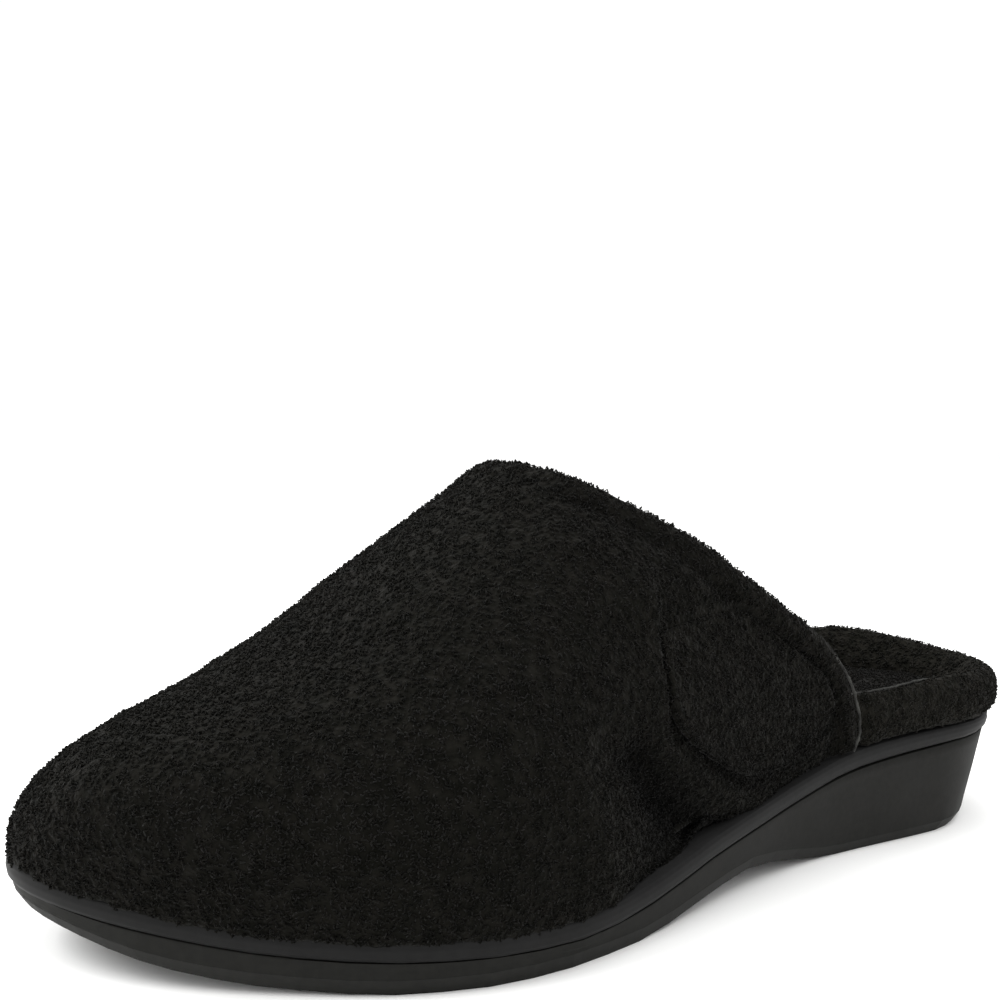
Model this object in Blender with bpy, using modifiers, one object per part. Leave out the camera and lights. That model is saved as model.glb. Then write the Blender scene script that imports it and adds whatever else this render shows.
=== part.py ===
"""Scuff slipper for the left foot, built from the shape of its last.

Metres, +Z up, floor at z = 0. The toe points along -Y and the outer side of the foot lies toward +X.
Stations run along the foot as shares of its length, from 0 at the heel to 1 at the toe.
"""

import math

import bmesh
import bpy
from mathutils import Vector

# Driving sizes of the last and the sole
SHOE_LENGTH = 0.258
BALL_WIDTH = 0.0948
HEEL_HEIGHT = 0.0252
INSTEP_HEIGHT = 0.0818
TREAD_THICKNESS = 0.0036
PLATFORM_THICKNESS = 0.0045
FOOTBED_THICKNESS = 0.0042
UPPER_WALL = 0.002
CLEARANCE = 0.0003

# Sizes of the sole's side
SIDE_UNDERCUT = 0.0004
HEEL_UNDERCUT = 0.0047
WAIST_UNDERCUT = 0.45
TREAD_BEVEL = 0.0014
LIP_HEIGHT = 0.0009
LIP_DEPTH = 0.0008
BAND_BULGE = 0.0008
GROOVE_WIDTH = 0.0022
GROOVE_DEPTH = 0.0012
GROOVE_PITCH = 0.0095
GROOVE_MARGIN = 0.009
GROOVE_ZONES = ((0.085, 0.275), (0.59, 0.775))

# The band's cross-section: up as a share of its thickness, out as a share of its bulge
BAND_SECTION = (
    (0.0, 0.0),
    (0.2, 0.8),
    (0.55, 1.0),
    (0.85, 0.7),
    (1.0, 0.0),
)

# Sizes of the footbed and the padded heel rim
ARCH_RISE = 0.0035
ARCH_START = (0.24, 0.42)
ARCH_STOP = (0.46, 0.62)
HEEL_DISH = 0.0012
DISH_STOP = (0.12, 0.32)
FOOTBED_ROUND = 0.0014
RIM_HEIGHT = 0.0122
RIM_WIDTH = 0.0105
RIM_OVERHANG = 0.0012
RIM_SWELL = 0.0011
RIM_THINNING = 0.5

# Sizes of the upper and its closure tab
UPPER_OVERHANG = 0.0015
TAB_THICKNESS = 0.0022
TAB_BED = 0.0001
TOPLINE_ROLL = 0.005
ROLL_SLOPE = 0.0015

# Where the topline stands: its feet at the sides, its peak on the instep, and how it bows between them
TOPLINE_FOOT = 0.282
TOPLINE_PEAK = 0.613
TOPLINE_BOW = 1.54
TOE_BOX_TOP = 0.80
RIM_END = TOPLINE_FOOT + 0.010

# Stations where the rim swells on the outer side, steps in to run under the upper, and grows thinner
SWELL_START = (0.0, 0.06)
SWELL_STOP = (0.17, 0.25)
TUCK = (TOPLINE_FOOT - 0.019, TOPLINE_FOOT - 0.004)
THINNING = (0.2, RIM_END)

# Where the footbed's edge leaves the rim for the upper's wall, and then the hollow, and how far it
# gives way to the last's lean
EDGE_LEAVES_RIM = (RIM_END + 0.006, RIM_END + 0.045)
EDGE_LEAVES_HOLLOW = (0.608, 0.708)
EDGE_GIVES_WAY = 1.6

# Round ends of the outline and of the toe box, as stations where each starts and how full it is
HEEL_ROUND = 0.13
TOE_ROUND = 0.24
TOE_FULLNESS = 2.3
TOE_BOX_ROUND = 0.13
TOE_BOX_FULLNESS = 2.2
TOE_SQUARE = (0.60, 0.85)

# The sole in stations: widths and shifts are shares of the ball width, top and bottom of the heel
# height, and tread and board of those two thicknesses. A shift toward the outer side counts as more
# than nothing.
SOLE_COLUMNS = ("along", "width", "shift", "top", "bottom", "tread", "board")
SOLE = (
    (0.00, 0.65, 0.000, 1.063, 0.04, 0.85, 0.65),
    (0.06, 0.68, -0.007, 1.045, 0.00, 0.85, 0.75),
    (0.13, 0.70, -0.011, 1.018, 0.00, 0.85, 0.90),
    (0.28, 0.68, -0.006, 0.90, 0.00, 0.85, 1.00),
    (0.35, 0.705, 0.005, 0.775, 0.11, 0.85, 1.00),
    (0.42, 0.76, 0.021, 0.66, 0.21, 0.90, 1.00),
    (0.50, 0.83, 0.040, 0.53, 0.11, 0.95, 1.00),
    (0.58, 0.905, 0.053, 0.345, 0.00, 1.00, 1.00),
    (0.65, 0.97, 0.050, 0.25, 0.00, 1.00, 1.00),
    (0.72, 1.00, 0.027, 0.255, 0.00, 1.00, 1.00),
    (0.78, 0.96, -0.002, 0.27, 0.00, 1.00, 1.00),
    (0.86, 0.85, -0.041, 0.32, 0.045, 0.95, 1.00),
    (0.93, 0.76, -0.068, 0.435, 0.16, 0.85, 1.00),
    (1.00, 0.68, -0.091, 0.59, 0.43, 0.70, 1.00),
)

# The last above the footbed: crown as a share of the instep height, fullness of the section's curve,
# and lean of the crown toward the outer side as a share of the ball width
LAST_COLUMNS = ("along", "crown", "fullness", "lean")
LAST = (
    (0.28, 1.18, 2.24, -0.027),
    (0.40, 0.93, 2.21, -0.027),
    (0.50, 0.965, 2.19, -0.029),
    (0.60, 1.00, 2.19, -0.035),
    (0.65, 0.93, 2.20, -0.036),
    (0.70, 0.815, 2.33, -0.015),
    (0.80, 0.565, 2.63, 0.032),
    (0.90, 0.40, 2.93, 0.075),
    (1.00, 0.34, 3.10, 0.095),
)

# Height of the heel rim as a share of its full height, on the outer and inner side of the foot
RIM_COLUMNS = ("along", "outer", "inner")
RIM = (
    (0.00, 1.00, 1.00),
    (0.04, 1.02, 1.04),
    (0.08, 1.10, 1.05),
    (0.14, 1.14, 1.05),
    (0.20, 1.10, 1.02),
    (0.30, 1.15, 1.00),
)

# The rim's cross-section: inward from its outer face as a share of its width, up as a share of its height
RIM_SECTION = (
    (0.06, 0.00),
    (0.00, 0.35),
    (0.03, 0.68),
    (0.14, 0.90),
    (0.30, 1.00),
    (0.47, 0.97),
    (0.66, 0.82),
    (0.85, 0.58),
    (1.00, 0.36),
    (1.00, 0.00),
)

# The closure tab's outline: height as a share of the way up to the crown, and the feet of the rays
# along which its rear and front edges stand
TAB_COLUMNS = ("up", "rear", "front")
TAB = (
    (0.052, 0.385, 0.415),
    (0.057, 0.352, 0.440),
    (0.070, 0.326, 0.456),
    (0.090, 0.313, 0.468),
    (0.122, 0.3085, 0.482),
    (0.167, 0.3085, 0.494),
    (0.211, 0.3085, 0.499),
    (0.250, 0.3085, 0.490),
    (0.300, 0.3085, 0.468),
    (0.345, 0.3085, 0.446),
    (0.385, 0.3085, 0.425),
)

# The hollow of the outer quarter that takes the tab: its front edge against the height
HOLLOW_COLUMNS = ("up", "front")
HOLLOW = (
    (0.00, 0.588),
    (0.22, 0.588),
    (0.30, 0.520),
    (0.40, 0.470),
    (0.50, 0.440),
)
HOLLOW_DEPTH = TAB_THICKNESS + CLEARANCE + TAB_BED
HOLLOW_TOP = 0.40
HOLLOW_FADE = 0.067
HOLLOW_FRONT_FADE = 0.022

# How finely the curved faces are divided
SOLE_STEPS = 40
UPPER_STEPS = 33
UPPER_RISES = 15
RIM_STEPS = 12
TUCK_STEPS = 5
TAB_STEPS = 10

TERRY = (0.0085, 0.0082, 0.0078)
LINING = (0.012, 0.0118, 0.0115)
WRAP = (0.032, 0.031, 0.030)
FOAM = (0.024, 0.0235, 0.0225)
RUBBER = (0.020, 0.0196, 0.019)


def follow(columns, rows, name, along):
    """Value of a table's column at a place along it, on a smooth curve that never overshoots."""
    at = columns.index(name)
    places = [row[0] for row in rows]
    values = [row[at] for row in rows]
    along = min(max(along, places[0]), places[-1])
    last = len(rows) - 1
    index = min(sum(along >= place for place in places) - 1, last - 1)
    steps = [places[i + 1] - places[i] for i in range(last)]
    slopes = [(values[i + 1] - values[i]) / steps[i] for i in range(last)]

    def tangent(i):
        if i in (0, last):
            return slopes[0] if i == 0 else slopes[-1]
        before, after = slopes[i - 1], slopes[i]
        if before * after <= 0:
            return 0.0
        first = 2 * steps[i] + steps[i - 1]
        second = steps[i] + 2 * steps[i - 1]
        return (first + second) / (first / before + second / after)

    span = steps[index]
    t = (along - places[index]) / span
    start = values[index] * (1 + 2 * t) * (1 - t) ** 2 + tangent(index) * span * t * (1 - t) ** 2
    end = values[index + 1] * t * t * (3 - 2 * t) - tangent(index + 1) * span * t * t * (1 - t)
    return start + end


def sole(name, along):
    return follow(SOLE_COLUMNS, SOLE, name, along)


def last(name, along):
    return follow(LAST_COLUMNS, LAST, name, along)


def ease(value, low, high):
    """Smooth step from 0 at low to 1 at high."""
    t = min(max((value - low) / (high - low), 0.0), 1.0)
    return t * t * (3 - 2 * t)


def end_round(along):
    """How far the outline has closed at a station: 1 along the sides, 0 at either tip."""
    if along < HEEL_ROUND:
        return math.sqrt(max(0.0, 1 - ((HEEL_ROUND - along) / HEEL_ROUND) ** 2))
    toe_start = 1 - TOE_ROUND
    if along > toe_start:
        return math.sqrt(max(0.0, 1 - ((along - toe_start) / TOE_ROUND) ** TOE_FULLNESS))
    return 1.0


def half_width(along, grow):
    return (sole("width", along) * BALL_WIDTH / 2 + grow) * end_round(along)


def middle(along):
    return sole("shift", along) * BALL_WIDTH


def place_along(along, heel_grow, toe_grow):
    """The y of a station on an outline that is grown by these amounts at heel and toe."""
    return SHOE_LENGTH / 2 + heel_grow - along * (SHOE_LENGTH + heel_grow + toe_grow)


def station_of(y, heel_grow=0.0, toe_grow=0.0):
    along = (SHOE_LENGTH / 2 + heel_grow - y) / (SHOE_LENGTH + heel_grow + toe_grow)
    return min(max(along, 0.0), 1.0)


def wedge_top(along):
    return sole("top", along) * HEEL_HEIGHT


def tread_bottom(along):
    return sole("bottom", along) * HEEL_HEIGHT


def tread_top(along):
    return tread_bottom(along) + sole("tread", along) * TREAD_THICKNESS


def board(along):
    return sole("board", along) * PLATFORM_THICKNESS


def platform_top(along):
    return wedge_top(along) + CLEARANCE + board(along)


def seat(along):
    """Height on which the upper, the rim and the footbed stand."""
    return platform_top(along) + CLEARANCE


def around():
    """Stations and sides of a closed ring: up the outer side to the toe, back along the inner one."""
    steps = [(1 - math.cos(math.pi * i / SOLE_STEPS)) / 2 for i in range(SOLE_STEPS + 1)]
    outer = [(along, 1) for along in steps]
    inner = [(along, -1) for along in reversed(steps[1:-1])]
    return outer + inner


def ring(height, grow, heel_grow=None, toe_grow=None, inward=0.0):
    """A closed ring of points: grown past the wedge's edge, then drawn inward to the foot's line.

    height takes a station, a side and the share inward; grow is a length or takes a station and a side.
    """
    heel_grow = grow if heel_grow is None else heel_grow
    toe_grow = grow if toe_grow is None else toe_grow
    spine_heel = HEEL_ROUND
    spine_toe = 1 - TOE_ROUND / 2
    points = []
    for along, side in around():
        side_grow = grow(along, side) if callable(grow) else grow
        edge = Vector((middle(along) + side * half_width(along, side_grow), 0, 0))
        edge.y = place_along(along, heel_grow, toe_grow)
        spine_along = min(max(along, spine_heel), spine_toe)
        spine = Vector((middle(spine_along), place_along(spine_along, heel_grow, toe_grow), 0))
        point = edge.lerp(spine, inward)
        point.z = height(station_of(point.y, heel_grow, toe_grow), side, inward)
        points.append(point)
    return points


def loft(name, rings, closed, capped=False):
    """A mesh object through rows of points; closed rows are loops, capped ones get their end faces."""
    mesh = bmesh.new()
    rows = [[mesh.verts.new(point) for point in row] for row in rings]
    count = len(rows[0])
    for low, high in zip(rows, rows[1:]):
        for i in range(count if closed else count - 1):
            after = (i + 1) % count
            mesh.faces.new((low[i], low[after], high[after], high[i]))
    if capped:
        mesh.faces.new(list(reversed(rows[0])))
        mesh.faces.new(rows[-1])
    bmesh.ops.remove_doubles(mesh, verts=mesh.verts, dist=1e-6)
    bmesh.ops.dissolve_degenerate(mesh, edges=mesh.edges, dist=1e-7)
    bmesh.ops.recalc_face_normals(mesh, faces=mesh.faces)
    data = bpy.data.meshes.new(name)
    mesh.to_mesh(data)
    mesh.free()
    return bpy.data.objects.new(name, data)


def material(name, colour, roughness):
    surface = bpy.data.materials.new(name)
    surface.use_nodes = True
    shader = surface.node_tree.nodes["Principled BSDF"]
    shader.inputs["Base Color"].default_value = (*colour, 1.0)
    shader.inputs["Roughness"].default_value = roughness
    shader.inputs["Metallic"].default_value = 0.0
    return surface


def finish(shape, colour, roughness, collection):
    """Gives a piece its material and smooth shading and puts it in the slipper's collection."""
    shape.data.materials.append(material(shape.name, colour, roughness))
    shape.data.shade_smooth()
    shape.data.set_sharp_from_angle(angle=math.radians(40))
    collection.objects.link(shape)
    return shape


def groove_cutters(collection):
    """Bars that cut the tread's grooves across the heel's and the forefoot's flat spots."""
    mesh = bmesh.new()
    for first, final in GROOVE_ZONES:
        room = (final - first) * SHOE_LENGTH
        count = int(room / GROOVE_PITCH) + 1
        start = place_along(first, 0, 0) - (room - (count - 1) * GROOVE_PITCH) / 2
        for i in range(count):
            y = start - i * GROOVE_PITCH
            along = station_of(y)
            width = 2 * (half_width(along, 0) - GROOVE_MARGIN)
            made = bmesh.ops.create_cube(mesh, size=1)["verts"]
            bmesh.ops.scale(mesh, vec=(width, GROOVE_WIDTH, 2 * GROOVE_DEPTH), verts=made)
            bmesh.ops.translate(mesh, vec=(middle(along), y, 0), verts=made)
    data = bpy.data.meshes.new("groove_cutters")
    mesh.to_mesh(data)
    mesh.free()
    cutter = bpy.data.objects.new("groove_cutters", data)
    cutter.hide_render = True
    cutter.display_type = "WIRE"
    collection.objects.link(cutter)
    return cutter


def outsole(parts, cutters):
    """Rubber tread: flat under heel and forefoot, arched between them and sprung up at the toe."""

    def top(along, side, inward):
        return tread_top(along)

    def bottom(along, side, inward):
        return tread_bottom(along)

    edge = (-SIDE_UNDERCUT, -HEEL_UNDERCUT, -SIDE_UNDERCUT)
    foot = tuple(grow - TREAD_BEVEL for grow in edge)
    rings = [
        ring(bottom, *foot, inward=1.0),
        ring(bottom, *foot, inward=0.35),
        ring(bottom, *foot),
        ring(top, *edge),
        ring(top, *edge, inward=0.35),
        ring(top, *edge, inward=1.0),
    ]
    tread = loft("outsole", rings, closed=True)
    cut = tread.modifiers.new("tread grooves", "BOOLEAN")
    cut.operation = "DIFFERENCE"
    cut.solver = "EXACT"
    cut.object = groove_cutters(cutters)
    return finish(tread, RUBBER, 0.6, parts)


def midsole(parts):
    """Foam wedge: undercut at the heel, thin under the ball, with a lipped edge below the platform."""

    def bottom(along, side, inward):
        return tread_top(along) + CLEARANCE

    def waist(along, side, inward):
        return (tread_top(along) + CLEARANCE + wedge_top(along)) / 2

    def shoulder(along, side, inward):
        thickness = wedge_top(along) - bottom(along, side, inward)
        return wedge_top(along) - min(LIP_HEIGHT, thickness / 3)

    def top(along, side, inward):
        return wedge_top(along)

    edge = (-SIDE_UNDERCUT, -HEEL_UNDERCUT, -SIDE_UNDERCUT)
    half = tuple(grow * WAIST_UNDERCUT for grow in edge)
    rings = [
        ring(bottom, *edge, inward=1.0),
        ring(bottom, *edge, inward=0.35),
        ring(bottom, *edge),
        ring(waist, *half),
        ring(shoulder, 0.0),
        ring(top, -LIP_DEPTH),
        ring(top, -LIP_DEPTH, inward=1.0),
    ]
    return finish(loft("midsole", rings, closed=True), FOAM, 0.55, parts)


def platform(parts):
    """Board in its smooth wrap: its side is the band that shows between wedge and upper."""

    def level(share):
        def height(along, side, inward):
            return wedge_top(along) + CLEARANCE + share * board(along)

        return height

    rings = [ring(level(up), BAND_BULGE * out) for up, out in BAND_SECTION]
    rings.insert(0, ring(level(0.0), 0.0, inward=1.0))
    rings.append(ring(level(1.0), 0.0, inward=1.0))
    return finish(loft("platform", rings, closed=True), WRAP, 0.35, parts)


def rim_outer(along, side):
    """How far the rim's outer face stands past the wedge's edge; it steps in to run under the upper."""
    inside = UPPER_OVERHANG - UPPER_WALL - CLEARANCE
    swell = RIM_SWELL * ease(along, *SWELL_START) * (1 - ease(along, *SWELL_STOP)) if side > 0 else 0.0
    return RIM_OVERHANG + swell + (inside - RIM_OVERHANG) * ease(along, *TUCK)


def rim_width(along):
    """The rim's width: full around the heel, thinner where it runs in under the upper."""
    return RIM_WIDTH * (1 - RIM_THINNING * ease(along, *THINNING))


def heel_rim(parts):
    """Padded roll around the open heel, from under one side of the upper to under the other."""
    step = (RIM_END - TUCK[0]) / TUCK_STEPS
    tucked = [RIM_END - step * i for i in range(TUCK_STEPS + 1)]
    free = [(TUCK[0] - 2 * step) * (1 - i / RIM_STEPS) ** 2 for i in range(RIM_STEPS + 1)]
    outer = [(along, 1) for along in tucked + free]
    inner = [(along, -1) for along in reversed(tucked + free[:-1])]
    sections = []
    for along, side in outer + inner:
        name = "outer" if side > 0 else "inner"
        height = RIM_HEIGHT * follow(RIM_COLUMNS, RIM, name, along)
        section = []
        for inward, up in RIM_SECTION:
            grow = rim_outer(along, side) - inward * rim_width(along)
            y = place_along(along, grow, grow)
            x = middle(along) + side * half_width(along, grow)
            section.append(Vector((x, y, seat(station_of(y)) + up * height)))
        sections.append(section)
    return finish(loft("heel_rim", sections, closed=True, capped=True), TERRY, 0.95, parts)


def footbed(parts):
    """Padded insole inside rim and upper: dished at the heel, raised under the arch."""

    def grow(along, side):
        rim_along = min(along, RIM_END)
        by_rim = rim_outer(rim_along, side) - rim_width(rim_along) - CLEARANCE
        height = FOOTBED_THICKNESS / (last("crown", along) * INSTEP_HEIGHT)
        slant = last("lean", along) * BALL_WIDTH * height
        by_wall = UPPER_OVERHANG - UPPER_WALL - 2 * CLEARANCE - max(0.0, -EDGE_GIVES_WAY * side * slant)
        if side > 0:
            by_wall -= HOLLOW_DEPTH * (1 - ease(along, *EDGE_LEAVES_HOLLOW))
        return by_rim + (by_wall - by_rim) * ease(along, *EDGE_LEAVES_RIM)

    def bottom(along, side, inward):
        return seat(along)

    def top(along, side, inward):
        arch = ease(along, *ARCH_START) * (1 - ease(along, *ARCH_STOP)) if side < 0 else 0.0
        heel = 1 - ease(along, *DISH_STOP)
        rise = ARCH_RISE * arch * (1 - inward) - HEEL_DISH * heel * inward
        return seat(along) + FOOTBED_THICKNESS + rise

    def shoulder(along, side, inward):
        return top(along, side, inward) - FOOTBED_ROUND * 0.6

    def rounded(along, side):
        return grow(along, side) - FOOTBED_ROUND

    heel = grow(0.0, 1)
    toe = min(grow(1.0, 1), grow(1.0, -1))
    ends = (heel, toe)
    round_ends = (heel - FOOTBED_ROUND, toe - FOOTBED_ROUND)
    rings = [
        ring(bottom, grow, *ends, inward=1.0),
        ring(bottom, grow, *ends),
        ring(shoulder, grow, *ends),
        ring(top, rounded, *round_ends),
        ring(top, rounded, *round_ends, inward=0.3),
        ring(top, rounded, *round_ends, inward=0.65),
        ring(top, rounded, *round_ends, inward=1.0),
    ]
    return finish(loft("footbed", rings, closed=True), LINING, 0.95, parts)


def spine_station(foot):
    """Where the ray that stands on the edge at this station meets the crown."""
    span = 1 - TOPLINE_FOOT
    reach = TOE_BOX_TOP - TOPLINE_PEAK
    return TOPLINE_PEAK + reach * (1 - (1 - (foot - TOPLINE_FOOT) / span) ** (span / reach))


def toe_box(along):
    """How far the toe box has closed at a station: 1 over the foot, 0 at its tip."""
    start = 1 - TOE_BOX_ROUND
    if along <= start:
        return 1.0
    closed = ((along - start) / TOE_BOX_ROUND) ** TOE_BOX_FULLNESS
    return max(0.0, 1 - closed) ** (1 / TOE_BOX_FULLNESS)


def last_point(foot, up, side):
    """A point on the upper's outer face.

    foot is the station where its ray stands on the edge, and up goes from 0 there to 1 at the crown.
    """
    angle = up * math.pi / 2
    round_toe = ease(foot, *TOE_SQUARE)
    cosine = max(0.0, math.cos(angle))
    bow = math.sin(angle) ** TOPLINE_BOW
    straight = 1 - cosine ** (2 / last("fullness", foot))
    share = bow + (straight - bow) * round_toe
    along = foot + (spine_station(foot) - foot) * share
    fullness = last("fullness", along)
    half = half_width(along, UPPER_OVERHANG)
    reach = half + (half_width(foot, UPPER_OVERHANG) - half) * round_toe
    offset = min(half, reach * cosine ** (2 / fullness))
    spread = offset / half if half > 1e-6 else 0.0
    lift = max(0.0, 1 - spread**fullness) ** (1 / fullness)
    crown = last("crown", along) * INSTEP_HEIGHT * toe_box(along)
    lean = last("lean", along) * BALL_WIDTH * toe_box(along)
    y = place_along(along, UPPER_OVERHANG, UPPER_OVERHANG)
    x = middle(along) + side * offset + lean * lift
    return Vector((x, y, seat(station_of(y)) + crown * lift))


def last_normal(foot, up, side):
    """Outward direction of the upper's face, from its neighbours on the same face."""
    step = 0.002
    forward = last_point(foot + step, up, side) - last_point(foot - step, up, side)
    low = max(0.0, up - step)
    upward = last_point(foot, up + step, side) - last_point(foot, low, side)
    normal = forward.cross(upward)
    normal.normalize()
    return normal if normal.x * side > 0 else -normal


def hollow_depth(foot, up):
    """How deep the outer quarter is set back under the closure tab and in the notch before it."""
    roll = TOPLINE_ROLL / SHOE_LENGTH
    slope = ROLL_SLOPE / SHOE_LENGTH
    rear = (foot - TOPLINE_FOOT - roll) / slope
    front = (follow(HOLLOW_COLUMNS, HOLLOW, "front", up) - foot) / HOLLOW_FRONT_FADE + 1
    top = (HOLLOW_TOP - up) / HOLLOW_FADE + 1
    share = min(max(min(rear, front, top), 0.0), 1.0)
    return HOLLOW_DEPTH * share


def upper(parts):
    """Hollow shell over the foot, open at the topline and underneath, with one wall all over."""
    roll = TOPLINE_FOOT + TOPLINE_ROLL / SHOE_LENGTH
    first = roll + ROLL_SLOPE / SHOE_LENGTH
    feet = [TOPLINE_FOOT, roll]
    for i in range(UPPER_STEPS + 1):
        q = i / UPPER_STEPS
        feet.append(first + (1 - first) * (q + q**2 - q**3))
    rays = [(foot, 1) for foot in feet] + [(foot, -1) for foot in reversed(feet[:-1])]
    rows = []
    for i in range(UPPER_RISES + 1):
        up = i / UPPER_RISES
        row = []
        for foot, side in rays:
            point = last_point(foot, up, side)
            depth = hollow_depth(foot, up) if side > 0 else 0.0
            if depth > 0:
                point -= last_normal(foot, up, side) * depth
            row.append(point)
        rows.append(row)
    shell = loft("upper", rows, closed=False)
    wall = shell.modifiers.new("wall", "SOLIDIFY")
    wall.thickness = UPPER_WALL
    wall.offset = -1
    wall.use_even_offset = True
    return finish(shell, TERRY, 0.95, parts)


def closure_tab(parts):
    """Rounded end of the flap, lying in the hollow of the outer quarter."""
    rows = []
    ups = [row[0] for row in TAB]
    middles = [(a + b) / 2 for a, b in zip(ups[4:], ups[5:])]
    for up in sorted(ups + middles):
        rear = follow(TAB_COLUMNS, TAB, "rear", up)
        front = follow(TAB_COLUMNS, TAB, "front", up)
        row = []
        for i in range(TAB_STEPS + 1):
            foot = rear + (front - rear) * i / TAB_STEPS
            row.append(last_point(foot, up, 1))
        rows.append(row)
    tab = loft("closure_tab", rows, closed=False)
    wall = tab.modifiers.new("thickness", "SOLIDIFY")
    wall.thickness = TAB_THICKNESS
    wall.offset = -1
    return finish(tab, TERRY, 0.95, parts)


def stand_on_origin(shapes):
    """Moves every piece alike, so that the slipper's bottom centre is the origin."""
    bpy.context.view_layer.update()
    graph = bpy.context.evaluated_depsgraph_get()
    corners = []
    for shape in shapes:
        mesh = shape.evaluated_get(graph).to_mesh()
        corners.extend(vertex.co.copy() for vertex in mesh.vertices)
        shape.evaluated_get(graph).to_mesh_clear()
    low = Vector([min(corner[i] for corner in corners) for i in range(3)])
    high = Vector([max(corner[i] for corner in corners) for i in range(3)])
    centre = (low + high) / 2
    for shape in bpy.data.objects:
        shape.location = (-centre.x, -centre.y, -low.z)


def build():
    for old in list(bpy.data.objects):
        bpy.data.objects.remove(old, do_unlink=True)
    parts = bpy.data.collections.new("scuff_slipper")
    cutters = bpy.data.collections.new("cutters")
    for collection in (parts, cutters):
        bpy.context.scene.collection.children.link(collection)
    shapes = [
        outsole(parts, cutters),
        midsole(parts),
        platform(parts),
        footbed(parts),
        heel_rim(parts),
        upper(parts),
        closure_tab(parts),
    ]
    stand_on_origin(shapes)


build()
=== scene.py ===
"""Finish of a left scuff slipper: terry pile, wrapped platform edge, moulded wedge, seams and creases.

Metres, +Z up, floor at z = 0. The toe points along -Y and the outer side of the foot lies toward +X.
"""

import math

import bmesh
import bpy
import numpy as np
from mathutils import Matrix, Vector, noise
from mathutils.bvhtree import BVHTree


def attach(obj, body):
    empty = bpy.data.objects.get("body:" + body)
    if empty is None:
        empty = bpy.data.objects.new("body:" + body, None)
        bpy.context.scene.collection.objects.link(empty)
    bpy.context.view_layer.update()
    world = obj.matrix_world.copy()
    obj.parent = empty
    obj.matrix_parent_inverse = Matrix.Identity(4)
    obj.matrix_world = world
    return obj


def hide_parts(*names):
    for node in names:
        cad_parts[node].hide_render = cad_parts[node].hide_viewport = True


bl_info = {
    "name": "Scuff Slipper Finish",
    "version": (1, 0, 0),
    "blender": (4, 5, 0),
    "location": "View3D > Sidebar > Slipper",
    "description": "Dresses the solids of a scuff slipper in terry pile, wrap, foam and rubber",
    "category": "Object",
}

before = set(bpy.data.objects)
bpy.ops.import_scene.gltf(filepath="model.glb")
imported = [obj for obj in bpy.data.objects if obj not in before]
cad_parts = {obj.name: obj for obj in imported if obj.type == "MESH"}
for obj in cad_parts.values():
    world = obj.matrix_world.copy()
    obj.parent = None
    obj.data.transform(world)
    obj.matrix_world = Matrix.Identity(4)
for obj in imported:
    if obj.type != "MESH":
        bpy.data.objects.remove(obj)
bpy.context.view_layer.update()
MM = 0.001


def linear(hex_text):
    """A colour given as sRGB hex, as the linear RGBA that shaders take."""
    parts = [int(hex_text[i : i + 2], 16) / 255 for i in (0, 2, 4)]
    toned = [p / 12.92 if p <= 0.04045 else ((p + 0.055) / 1.055) ** 2.4 for p in parts]
    return (*toned, 1.0)


def colour_property(name, description, hex_text):
    """A colour that a user can change, given as sRGB hex."""
    return bpy.props.FloatVectorProperty(
        name=name, description=description, subtype="COLOR", size=4, min=0, max=1, default=linear(hex_text)
    )


def length_property(name, description, default):
    """A length in metres that a user can change."""
    return bpy.props.FloatProperty(
        name=name, description=description, unit="LENGTH", precision=5, default=default
    )


class TerrySettings(bpy.types.PropertyGroup):
    """Sizes and colours of the terry fabric."""

    pile: length_property("Pile", "How far the ground cloth lies below the solid's face", 0.75 * MM)
    clump: length_property("Clump", "Width of a clump of loops", 1.9 * MM)
    relief: length_property("Relief", "Height of a clump over the gaps beside it", 0.55 * MM)
    loop: length_property("Loop", "Width of one loop of yarn", 0.85 * MM)
    yarn: length_property("Yarn", "Radius of the yarn in a loop", 0.16 * MM)
    density: bpy.props.FloatProperty(
        name="Density", description="Loops in a square millimetre", default=1.3, min=0.0, max=4.0
    )
    # Painted shade of the terry in its gaps and painted light at its loops' ends, mixed in patches the size
    # of a clump
    deep: colour_property("Deep colour", "Terry in the gaps between the clumps", "0a0a07")
    tip: colour_property("Tip colour", "Terry at the ends of the loops", "13120f")
    edge: colour_property("Edge colour", "Worn grey cut edge of the backing cloth", "4e4e4b")


class SoleSettings(bpy.types.PropertyGroup):
    """Colours and grain of the wrap, the wedge and the tread."""

    wrap: colour_property("Wrap colour", "Coated wrap of the platform's edge", "111111")
    foam: colour_property("Foam colour", "Moulded foam of the wedge", "161614")
    rubber: colour_property("Rubber colour", "Rubber of the tread", "181816")
    grain: length_property("Grain", "Width of the moulded grain", 0.5 * MM)


class StageSettings(bpy.types.PropertyGroup):
    """Floor, light and camera."""

    azimuth: bpy.props.FloatProperty(
        name="Azimuth",
        description="Camera's turn round the slipper",
        subtype="ANGLE",
        default=math.radians(52.7),
    )
    elevation: bpy.props.FloatProperty(
        name="Elevation", description="Camera's height angle", subtype="ANGLE", default=math.radians(15.1)
    )
    roll: bpy.props.FloatProperty(
        name="Roll", description="Camera's roll", subtype="ANGLE", default=math.radians(-3.1)
    )
    distance: length_property("Distance", "From the camera to its target", 0.2943)
    lens: bpy.props.FloatProperty(name="Lens", description="Focal length in millimetres", default=44.23)
    target: bpy.props.FloatVectorProperty(
        name="Target",
        description="Point the camera faces",
        subtype="XYZ",
        default=(-0.00265, 0.00015, 0.03),
    )
    shift: bpy.props.FloatVectorProperty(
        name="Shift", description="Sideways and upward shift of the lens", size=2, default=(-0.099, 0.2361)
    )
    floor: colour_property("Floor colour", "Seamless paper", "fdfdfc")


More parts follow.
